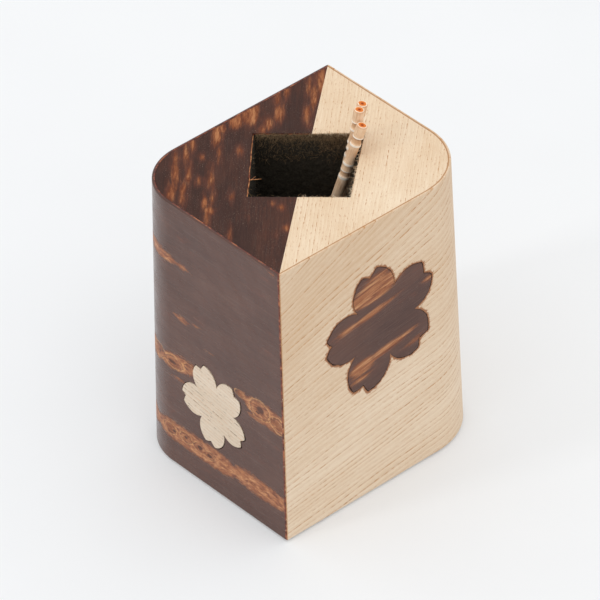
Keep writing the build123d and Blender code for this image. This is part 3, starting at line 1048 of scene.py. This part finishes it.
def felt_floor_mesh():
    """The floor felt: a grid between its four corners, which are tucked under the wall strips, its top
    face rippled, closed underneath."""
    share = np.linspace(0, 1, 60)
    u, v = np.meshgrid(share, share, indexing="ij")
    a, b, c, d = felt_inner + 0.6 * (WELL - felt_inner)
    plan = (a * ((1 - u) * (1 - v))[..., None] + b * (u * (1 - v))[..., None]
            + c * (u * v)[..., None] + d * ((1 - u) * v)[..., None])
    nap = 0.08 * ripples(plan[..., 0], plan[..., 1], 1.3, 14, 50)
    top = np.concatenate([plan, (WELL_FLOOR - nap)[..., None]], -1).reshape(-1, 3)
    under = np.concatenate([plan, (WELL_FLOOR - FELT + 0 * nap)[..., None]], -1).reshape(-1, 3)
    count = len(share)
    cells = quads(count, count).reshape(-1, 4)
    rim = np.concatenate([np.arange(count), count * np.arange(1, count) + count - 1,
                          count * count - 2 - np.arange(count - 1), count * np.arange(count - 2, 0, -1)])
    walls = np.stack([rim, np.roll(rim, -1), np.roll(rim, -1) + count ** 2, rim + count ** 2], -1)
    return np.concatenate([top, under]), cells.tolist() + (cells + count ** 2).tolist() + walls.tolist()


felt_floor = new_piece("felt_floor", *felt_floor_mesh(), black_felt)
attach(felt_floor, "block")
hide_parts("well_felt_floor")


def hairs(roots, leans, lengths, width, curl):
    """Fibres: each a four-sided tapering stem of four rings along a bend, from its root along its lean
    plus a random curl that grows with the square of the way along."""
    count, way = len(roots), np.linspace(0, 1, 4)
    bend = rng.normal(0, 1, (count, 3)) * curl
    line = (roots[:, None] + leans[:, None] * (lengths[:, None] * way)[..., None]
            + bend[:, None] * (lengths[:, None] * way ** 2)[..., None])
    across = np.cross(leans, rng.normal(0, 1, (count, 3)))
    across /= np.linalg.norm(across, axis=1, keepdims=True)
    other = np.cross(leans, across)
    turn = pi / 2 * np.arange(4)[None, :, None]
    offset = np.cos(turn) * across[:, None] + np.sin(turn) * other[:, None]
    thickness = np.multiply.outer(width * np.ones(count), (1.0, 0.9, 0.7, 0.3))
    points = line[:, :, None] + offset[:, None] * thickness[:, :, None, None]
    stem = np.concatenate([ring_faces(4, 4), [[3, 2, 1, 0], [12, 13, 14, 15]]])
    return points.reshape(-1, 3), (stem + 16 * np.arange(count)[:, None, None]).reshape(-1, 4)


def wall_roots(index, count, low, high, first=0.01):
    """Random places on one wall's felt, from low to high and from a share of its length on, with the
    way it faces."""
    start, end = felt_inner[index], felt_inner[(index + 1) % 4]
    along = (end - start) / np.hypot(*(end - start))
    inward = np.array([along[1], -along[0]])
    share, z = rng.uniform(first, 0.99, count), high - (high - low) * rng.uniform(0, 1, count) ** 1.6
    plan = start + (end - start) * share[:, None] - 0.12 * inward
    return np.concatenate([plan, z[:, None]], -1), np.array([*inward, 0.0])


def bundle(name, bundles, material):
    """One piece from several lots of fibres, riding on the block."""
    points = np.concatenate([lot[0] for lot in bundles])
    starts = np.cumsum([0] + [len(lot[0]) for lot in bundles])
    faces = np.concatenate([lot[1] + start for lot, start in zip(bundles, starts)])
    points[:, 2] = np.minimum(points[:, 2], HEIGHT + 0.14)
    piece = new_piece(name, points, faces.tolist(), material, weld=False)
    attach(piece, "block")


def unit(vectors):
    """Vectors scaled to length one."""
    return vectors / np.linalg.norm(vectors, axis=-1, keepdims=True)


nap = []
for index, count in enumerate((420, 620, 420, 420)):
    roots, inward = wall_roots(index, count, 44.0, FELT_TOP - 0.1)
    lean = unit(inward * 0.7 + rng.normal(0, 0.55, (count, 3)))
    nap.append(hairs(roots, lean, rng.uniform(0.35, 1.1, count), 0.02, 0.5))
bundle("felt_nap", nap, black_felt)

# Lint and sawdust caught in the nap, most of it along the top of the back wall
lint = []
for index, count, low, first in ((1, 1100, 58.5, 0.01), (1, 1400, 63.6, 0.01), (1, 900, 61.5, 0.6),
                                 (0, 60, 50.0, 0.01), (2, 70, 56.0, 0.01), (3, 60, 58.0, 0.01)):
    roots, inward = wall_roots(index, count, low, FELT_TOP + 0.1, first)
    lean = unit(inward * 0.4 + rng.normal(0, 0.7, (count, 3)))
    lint.append(hairs(roots, lean, rng.uniform(0.3, 1.0, count), rng.uniform(0.015, 0.035, count), 0.6))
bundle("felt_lint", lint, wool_felt("wool_lint", (92, 74, 54), (178, 148, 112)))

# Torn wood fibres that the knife left along the ash edges of the well
fray = []
for index, count, low, high in ((1, 46, 0.5, 1.0), (1, 70, 0.75, 1.0),
                                (2, 110, 0.0, 1.0), (3, 40, 0.05, 0.5)):
    start, end = WELL[index], WELL[(index + 1) % 4]
    along = unit(end - start)
    inward = np.array([along[1], -along[0], 0])
    plan = start + (end - start) * rng.uniform(low, high, count)[:, None] - 0.03 * inward[:2]
    roots = np.concatenate([plan, (HEIGHT - 0.05 - rng.uniform(0, 0.3, count))[:, None]], -1)
    lean = inward * 0.8 + np.array([*along, 0]) * rng.normal(0, 1.1, (count, 1))
    lean = unit(lean + rng.normal(0, 0.25, (count, 3)))
    fray.append(hairs(roots, lean, rng.uniform(0.3, 1.0, count), rng.uniform(0.025, 0.055, count), 0.35))
# and along the front corner, where the ash meets the bark
count = 110
height = rng.uniform(1, 64.5, count)
corner = np.stack([-HALF_X * plan_scale(height) + rng.uniform(-0.02, 0.12, count),
                   -HALF_Y * plan_scale(height) + 0.06, height], -1)
lean = unit(np.array([0.15, -0.35, -0.9]) + rng.normal(0, 0.5, (count, 3)))
fray.append(hairs(corner, lean, rng.uniform(0.15, 0.5, count), rng.uniform(0.015, 0.03, count), 0.4))


def torn_wood(name, dark, light):
    """Loose fibres and splinters, matt, browner in places."""
    finish = Finish(name)
    cloud = finish.noise(finish.place(), 0.8, 3.0)
    return finish.finish(finish.colours(cloud, [(0.4, dark), (0.6, light)]), 0.8)


bundle("torn_fibres", fray, torn_wood("torn_ash", (196, 160, 122), (232, 212, 182)))

# Splinters of bark that the knife lifted along the left edge of the well, one of them hooked inwards
along = unit(WELL[1] - WELL[0])
inward = np.array([along[1], -along[0]])
share = np.array([0.0, 0.14, 0.3, 0.45, 0.62, 0.8])
lift = np.array([0.02, 0.1, 0.04, 0.1, 0.05, 0.08])
plan = WELL[0] + (WELL[1] - WELL[0]) * share[:, None] + inward * lift[:, None]
roots = np.concatenate([plan, 0 * plan[:, :1] + HEIGHT - 0.06], -1)
lean = unit(np.concatenate([np.tile(along, (6, 1)), np.zeros((6, 1))], -1) + rng.normal(0, 0.012, (6, 3)))
lengths = np.array([4.2, 4.6, 4.4, 4.8, 4.5, 4.0])
widths = np.array([0.1, 0.13, 0.14, 0.1, 0.12, 0.09])
splinters = [hairs(roots, lean, lengths, widths, 0.01)]
hooks = np.array([(-10.4, 4.5, 64.95), (-10.1, 4.3, 64.9), (-12.9, 2.0, 64.9)])
lean = unit(np.array([(0.75, -0.6, 0.05), (0.95, 0.1, 0.0), (-0.4, -0.8, 0.1)]))
splinters.append(hairs(hooks, lean, np.array([2.6, 1.7, 1.2]), np.array([0.1, 0.07, 0.07]), 0.05))
bundle("bark_splinters", splinters, torn_wood("torn_bark", (120, 58, 34), (214, 146, 92)))


# --- The base pad -------------------------------------------------------------------------------
# A thin felt pad glued under the block, a millimetre smaller all round, so that it doesn't scratch.

PAD = 0.5
PAD_INSET = 1.0
PAD_ROUND = 0.2


def pad_mesh():
    """Closed pad, thin and flat: rings from its middle out to the block's outline at the foot drawn in, over
    a soft edge, and back on top. A ring is that outline's reach in each direction times a share."""
    angles = np.linspace(0, 2 * pi, 361)[:-1]
    reach = rim_reach(angles, 0.0) * BASE_SCALE - PAD_INSET
    turn = np.linspace(-pi / 2, pi / 2, 9)
    flat = np.linspace(0.03, 0.99, 40)
    share = np.concatenate([flat, 0 * turn + 1, [0.5, 0.03]])
    shift = np.concatenate([0 * flat, -PAD_ROUND + PAD_ROUND * np.cos(turn), [0, 0]])
    rise = np.concatenate([0 * flat, PAD / 2 + PAD / 2 * np.sin(turn), [PAD, PAD]])
    radius = reach * share[:, None] + shift[:, None]
    x, y = radius * np.cos(angles), radius * np.sin(angles)
    nap = 0.06 * ripples(x, y, 1.5, 14, 60) * (rise < 0.01)[:, None]
    points = np.stack([x, y, rise[:, None] + nap], -1)
    size = len(share), len(angles)
    return points.reshape(-1, 3), ring_faces(*size).tolist() + ring_ends(*size)


pad = new_piece("felt_pad", *pad_mesh(), wool_felt("pad_felt", (34, 30, 28), (62, 56, 52)))
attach(pad, "block")
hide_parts("base_pad")


# --- The picks ----------------------------------------------------------------------------------
# Three pale wooden picks, turned to a point at the foot and to lips and grooves below the top end,
# which is singed orange. They stand on the floor felt and lean in the well's right corner.

PICK_LENGTH, PICK_RADIUS = 65.0, 1.1
POINT_LENGTH, POINT_RADIUS = 10.0, 0.2
PICK_FEET = ((4.54, 8.57), (5.1, 4.9), (-3.65, 7.78))
PICK_FOOT = WELL_FLOOR + 0.1
PICK_SIDES = 48
PICK_BOW = 0.04
HEAD_RINGS = 260                     # fine rings from the end down through the turned head
# Turned head: distance below the end, and the radius there as a share of the pick's
PICK_HEAD = np.array([
    (0.0, 0.84), (0.05, 0.93), (0.16, 0.98), (0.5, 1.0), (1.5, 0.985), (2.4, 0.965), (2.52, 0.99),
    (2.62, 1.03), (2.85, 1.035), (2.93, 0.98), (3.02, 0.82), (3.2, 0.79), (3.8, 0.81), (4.2, 0.87),
    (4.32, 0.96), (4.45, 1.035), (4.85, 1.035), (4.98, 0.98), (5.12, 0.93), (5.8, 0.885), (7.0, 0.86),
    (8.2, 0.885), (8.95, 0.94), (9.1, 0.98), (9.25, 1.035), (9.65, 1.035), (9.8, 0.96), (9.95, 0.89),
    (10.4, 0.9), (10.8, 0.945), (10.98, 1.01), (11.18, 1.015), (11.28, 0.93), (11.38, 0.78),
    (11.8, 0.775), (12.25, 0.84), (12.4, 0.96), (12.55, 1.035), (12.95, 1.035), (13.15, 1.0),
    (14.5, 0.995), (30.0, 1.0),
]) * (1.0, PICK_RADIUS)


def turned_wood():
    """Pale turned wood: fine long fibres, lips painted lighter as highlight, grooves painted darker as shade,
    the end singed orange with a darker heart and a pale rim. Reads the piece's own grain, outward and below
    distances."""
    finish = Finish("turned_pick_wood")
    grain = finish.read("grain", "Vector")
    radius = finish.read("outward")
    below = finish.read("below")
    point = finish.place()
    fibre = finish.streaks(grain, (0.25, 7.0), 4.0, 0.65)
    cloud = finish.streaks(grain, (0.35, 0.8), 3.0)
    tone = finish.plus(finish.times(fibre, 0.6), finish.times(cloud, 0.4))
    colour = finish.colours(tone, [(0.36, (206, 164, 128)), (0.52, (236, 201, 165)), (0.66, (250, 228, 202))])
    # Lips painted near white as highlight where they face up to the light; grooves painted darker as shade.
    head = finish.step(below, 13.12, 12.98)
    lip_highlight = finish.times(finish.step(radius, 1.105, 1.13), head)
    groove_shade = finish.times(finish.step(radius, 1.045, 0.88), head)
    colour = finish.tint(colour, finish.times(lip_highlight, 0.75), (254, 246, 232))
    colour = finish.tint(colour, finish.times(groove_shade, 0.7), (196, 148, 106))
    neck = finish.times(finish.step(below, 3.35, 3.0), finish.step(below, 2.88, 2.98))
    colour = finish.tint(colour, finish.times(neck, 0.6), (104, 66, 44))
    face = finish.step(below, 0.04, 0.01)
    smoke = finish.plus(radius, finish.times(finish.noise(point, 1.6, 3.0), 0.3))
    singed = finish.colours(smoke, [(0.3, (150, 62, 34)), (0.52, (214, 112, 50)), (0.96, (236, 150, 80)),
                                    (1.06, (254, 240, 218))])
    colour = finish.blend(face, colour, singed)
    scorch = finish.times(finish.step(below, 0.5, 0.05), finish.step(face, 0.9, 0.1))
    colour = finish.tint(colour, finish.times(scorch, 0.4), (190, 130, 88))
    height = finish.plus(fibre, finish.times(face, finish.noise(point, 5.0, 3.0)))
    return finish.finish(colour, 0.75, finish.relief(height, 0.03), Specular_IOR_Level=0.06)


def pick_rings():
    """Distance below the end and radius of every ring: fine through the turned head, coarse below, the
    outline smoothed over a tenth of a millimetre, with a few rings across the end face."""
    shaft = np.linspace(13.9, PICK_LENGTH - POINT_LENGTH, 30)
    below = np.concatenate([np.linspace(0, 13.4, HEAD_RINGS), shaft])
    radius = np.interp(below, *PICK_HEAD.T)
    last = HEAD_RINGS - 2
    radius[1:last] = (radius[:last - 1] + 2 * radius[1:last] + radius[2:last + 1]) / 4
    tip = np.linspace(0, 1, 16)[1:]
    tip_below = PICK_LENGTH - POINT_LENGTH + POINT_LENGTH * tip
    tip_radius = PICK_RADIUS + (POINT_RADIUS - PICK_RADIUS) * tip + 0.03 * np.sin(pi * tip)
    end = np.array([0.04, 0.3, 0.5, 0.7])
    return (np.concatenate([0 * end, below, tip_below, [PICK_LENGTH]]),
            np.concatenate([end, radius, tip_radius, [0.02]]))


pick_wood = turned_wood()
for number, (joint, foot) in enumerate(zip(frame["joints"], PICK_FEET), start=1):
    up = np.array(joint["axis"])
    foot = np.array([*foot, PICK_FOOT])
    side = np.cross(up, (0, 1, 0))
    side /= np.linalg.norm(side)
    other = np.cross(up, side)
    below, radius = pick_rings()
    draw = np.random.default_rng(20 + number)
    turn = 2 * pi * np.arange(PICK_SIDES) / PICK_SIDES + draw.uniform(0, 6)
    bow = PICK_BOW * np.sin(pi * below / PICK_LENGTH)[:, None, None] * side
    out = np.cos(turn)[:, None] * side + np.sin(turn)[:, None] * other
    ring = foot + (PICK_LENGTH - below)[:, None, None] * up + radius[:, None, None] * out + bow
    faces = ring_faces(len(below), PICK_SIDES).tolist() + ring_ends(len(below), PICK_SIDES)
    pick = new_piece(f"turned_pick_{number}", ring.reshape(-1, 3), faces, pick_wood, weld=False)
    sharpen(pick, 50)

    def along_pick(x, y, z, foot=foot, up=up, side=side, other=other):
        """Distance down from the end, distance out from the axis, and angle round it."""
        gap = np.stack([x, y, z], -1) - foot
        away = gap - (gap @ up)[:, None] * up
        one, two = away @ side, away @ other
        return PICK_LENGTH - gap @ up, np.hypot(one, two), np.arctan2(two, one)

    paint(pick, "below", lambda x, y, z: along_pick(x, y, z)[0])
    paint(pick, "outward", lambda x, y, z: along_pick(x, y, z)[1])
    lay_grain(pick, lambda x, y, z: (along_pick(x, y, z)[0] + 90 * number,
                                     0.9 * abs(along_pick(x, y, z)[2])))
    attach(pick, joint["child"])
    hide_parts(joint["child"])


# --- The studio ---------------------------------------------------------------------------------
# A wide pale sheet to stand on, with no edge in sight, soft light from all round and two soft lamps.

def paper():
    """Plain matt paper, faintly cloudy, with a little light of its own so that shadows on it stay pale."""
    finish = Finish("backdrop_paper")
    cloud = finish.noise(finish.place(), 0.02, 2.0)
    colour = finish.colours(cloud, [(0.3, (212, 214, 215)), (0.7, (214, 216, 217))])
    return finish.finish(colour, 0.9, Specular_IOR_Level=0.2, Emission_Strength=0.21)


FLOOR = 3000                         # half the side of the sheet
floor = new_piece("floor", [(-FLOOR, -FLOOR, 0), (FLOOR, -FLOOR, 0), (FLOOR, FLOOR, 0), (-FLOOR, FLOOR, 0)],
                  [(0, 1, 2, 3)], paper())

world = bpy.data.worlds.new("studio")
world.use_nodes = True
sky = world.node_tree.nodes["Background"]
sky.inputs["Color"].default_value = (0.99, 0.99, 1.0, 1.0)
sky.inputs["Strength"].default_value = 0.92
bpy.context.scene.world = world


LAMP_AIM = Vector((0, 0, 0.03))


def softbox(name, place, width, height, power):
    """Rectangular area light at a place in metres, facing the middle of the block."""
    light = bpy.data.lights.new(name, "AREA")
    light.shape = "RECTANGLE"
    light.size, light.size_y, light.energy = width, height, power
    lamp = bpy.data.objects.new(name, light)
    bpy.context.scene.collection.objects.link(lamp)
    lamp.location = place
    lamp.rotation_euler = (LAMP_AIM - Vector(place)).to_track_quat("-Z", "Y").to_euler()


softbox("overhead", (-0.15, -0.15, 1.15), 1.2, 1.2, 2.2)
softbox("left_side", (-0.9, 0.25, 0.45), 0.16, 0.7, 1.7)


# --- The camera ---------------------------------------------------------------------------------
# A long lens from above the front corner, held a little out of level.

VIEW_FROM = Vector((-0.6615, -0.7726, 0.8255))
VIEW_AT = Vector((-0.0254, -0.0272, 0.0613))
TILT = radians(-1.97)
lens = bpy.data.cameras.new("camera")
lens.lens, lens.sensor_width, lens.clip_end = 390, 36, 20
camera = bpy.data.objects.new("camera", lens)
bpy.context.scene.collection.objects.link(camera)
ahead = (VIEW_AT - VIEW_FROM).normalized()
right = ahead.cross(Vector((0, 0, 1))).normalized()
upward = right.cross(ahead)
cos_tilt, sin_tilt = np.cos(TILT), np.sin(TILT)
columns = (right * cos_tilt + upward * sin_tilt, upward * cos_tilt - right * sin_tilt, -ahead)
camera.matrix_world = Matrix.Translation(VIEW_FROM) @ Matrix(columns).transposed().to_4x4()
bpy.context.scene.camera = camera
bpy.context.scene.view_settings.view_transform = "Standard"
